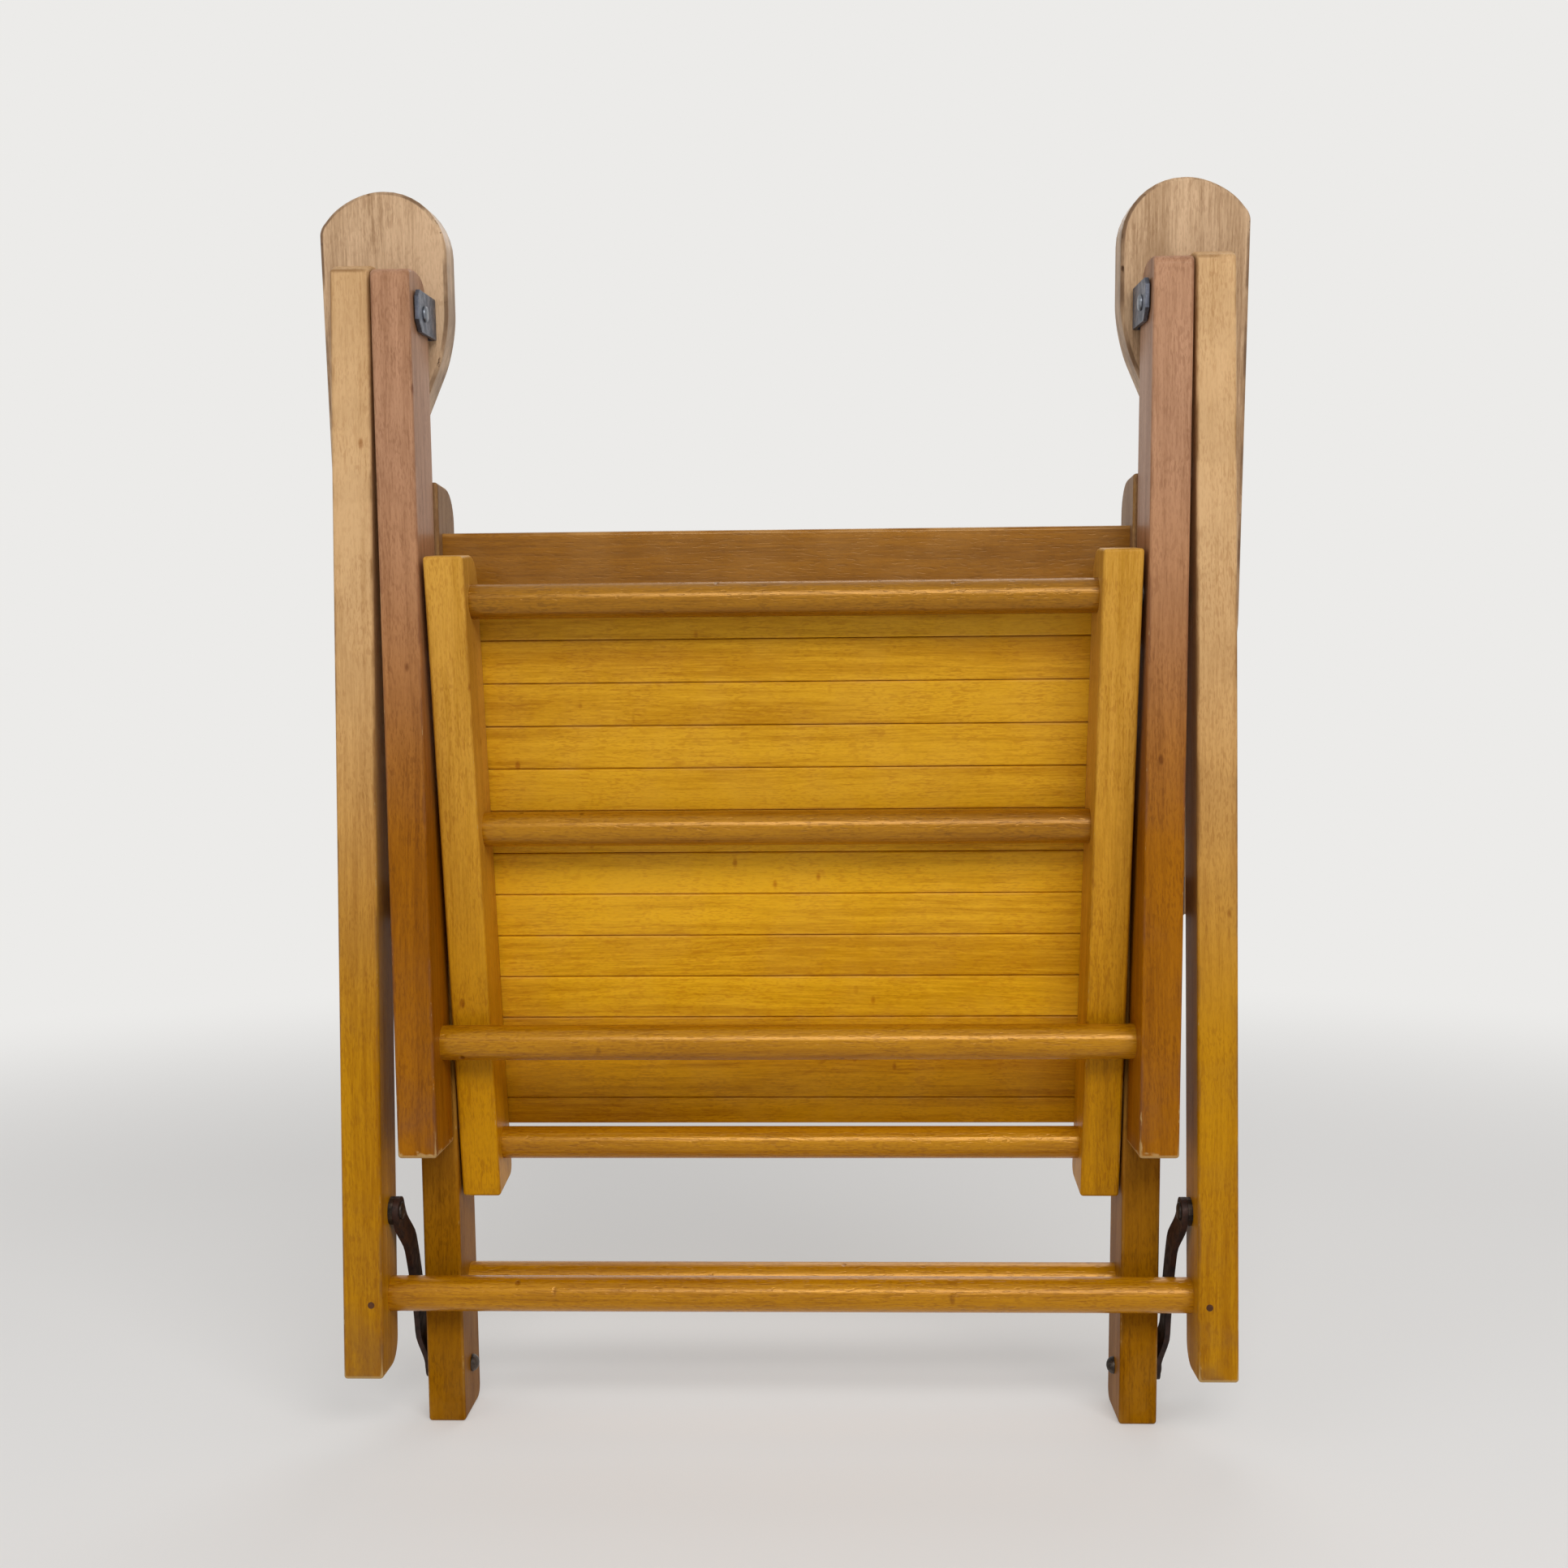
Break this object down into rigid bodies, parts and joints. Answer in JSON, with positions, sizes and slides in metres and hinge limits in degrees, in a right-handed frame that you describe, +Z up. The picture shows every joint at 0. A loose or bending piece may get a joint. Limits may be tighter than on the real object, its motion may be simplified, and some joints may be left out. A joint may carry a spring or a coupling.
{
  "type": "folding armchair",
  "caption": "Folding wooden slatted armchair, folded flat, with flat arm boards on steel brackets, paired legs, dowel rungs and steel links at the back posts.",
  "frame": {"origin": "on the floor under the middle of the folded packet", "axes": "+X across the chair to its right side as seen from the front of the packet, +Y from the front of the packet to its back, +Z up along the legs"},
  "size_m": [0.67, 0.1346, 0.8984],
  "materials": {
    "arm_wood": "satin varnish, tan",
    "rear_leg_wood": "satin varnish, golden",
    "front_leg_wood": "satin varnish, orange brown",
    "seat_wood": "satin varnish, honey",
    "slat_wood": "satin varnish, honey yellow",
    "dowel_wood": "gloss varnish, amber",
    "rail_wood": "gloss varnish, brown",
    "bracket_steel": "dull zinc plating",
    "link_steel": "dark brown bronzed steel",
    "bolt_steel": "dark aged steel"
  },
  "bodies": {
    "front_legs": {"front_leg_left": "front_leg_wood", "front_leg_right": "front_leg_wood", "front_leg_rung": "front_leg_wood", "leg_washers": "bolt_steel", "main_pivot_bolts": "bolt_steel", "seat_front_pivots": "bolt_steel", "seat_washers": "bolt_steel"},
    "rear_legs": {"link_spacers": "bolt_steel", "link_top_rivets": "bolt_steel", "rear_leg_left": "rear_leg_wood", "rear_leg_right": "rear_leg_wood", "rear_leg_rung": "rear_leg_wood", "rung_locking_pins": "bolt_steel"},
    "seat": {"seat_dowel_front": "dowel_wood", "seat_dowel_middle": "dowel_wood", "seat_dowel_rear": "dowel_wood", "seat_rail_left": "seat_wood", "seat_rail_right": "seat_wood", "seat_slat_01": "slat_wood", "seat_slat_02": "slat_wood", "seat_slat_03": "slat_wood", "seat_slat_04": "slat_wood", "seat_slat_05": "slat_wood", "seat_slat_06": "slat_wood", "seat_slat_07": "slat_wood", "seat_slat_08": "slat_wood", "seat_slat_09": "slat_wood", "seat_slat_10": "slat_wood", "seat_slat_11": "slat_wood", "seat_slat_12": "slat_wood", "seat_slat_13": "slat_wood"},
    "back": {"back_inserts": "bolt_steel", "back_lower_rail": "rail_wood", "back_post_left": "seat_wood", "back_post_right": "seat_wood", "back_rung": "dowel_wood", "back_slat_1": "rail_wood", "back_slat_2": "rail_wood", "back_slat_3": "rail_wood", "back_slat_4": "rail_wood", "back_slat_5": "rail_wood", "back_slat_6": "rail_wood", "back_slat_7": "rail_wood", "back_top_rail": "rail_wood", "link_dome_bolts": "bolt_steel", "seat_rear_pivots": "bolt_steel"},
    "arms": {"arm_bracket_front_left": "bracket_steel", "arm_bracket_front_right": "bracket_steel", "arm_bracket_rear_left": "bracket_steel", "arm_bracket_rear_right": "bracket_steel", "arm_left": "arm_wood", "arm_rear_bolts": "bolt_steel", "arm_right": "arm_wood", "bracket_screws": "bolt_steel"},
    "links": {"link_left": "link_steel", "link_right": "link_steel", "link_low_rivets": "bolt_steel"}
  },
  "joints": [
    {"name": "seat_front_pivot", "type": "hinge", "parent": "front_legs", "child": "seat", "pos_m": [0, -0.03953, 0.597], "axis": [1, 0, 0], "range_deg": [0, 81.25]},
    {"name": "leg_pivot", "type": "hinge", "parent": "front_legs", "child": "rear_legs", "pos_m": [0, -0.03953, 0.8], "axis": [1, 0, 0], "range_deg": [0, 37.2]},
    {"name": "arm_pivot", "type": "hinge", "parent": "front_legs", "child": "arms", "pos_m": [0, -0.03953, 0.8], "axis": [1, 0, 0], "range_deg": [0, 80]},
    {"name": "seat_rear_pivot", "type": "hinge", "parent": "seat", "child": "back", "pos_m": [0, 0.01547, 0.1983], "axis": [1, 0, 0], "range_deg": [-93.2, 0]},
    {"name": "link_pivot", "type": "hinge", "parent": "rear_legs", "child": "links", "pos_m": [0, -0.03453, 0.162], "axis": [1, 0, 0], "range_deg": [0, 130]}
  ],
  "couplings": [
    {"joint": "leg_pivot", "follows": "seat_front_pivot", "ratio": 0.456},
    {"joint": "arm_pivot", "follows": "seat_front_pivot", "ratio": 0.98265},
    {"joint": "seat_rear_pivot", "follows": "seat_front_pivot", "ratio": -1.1449},
    {"joint": "link_pivot", "follows": "seat_front_pivot", "ratio": 1.5972}
  ]
}
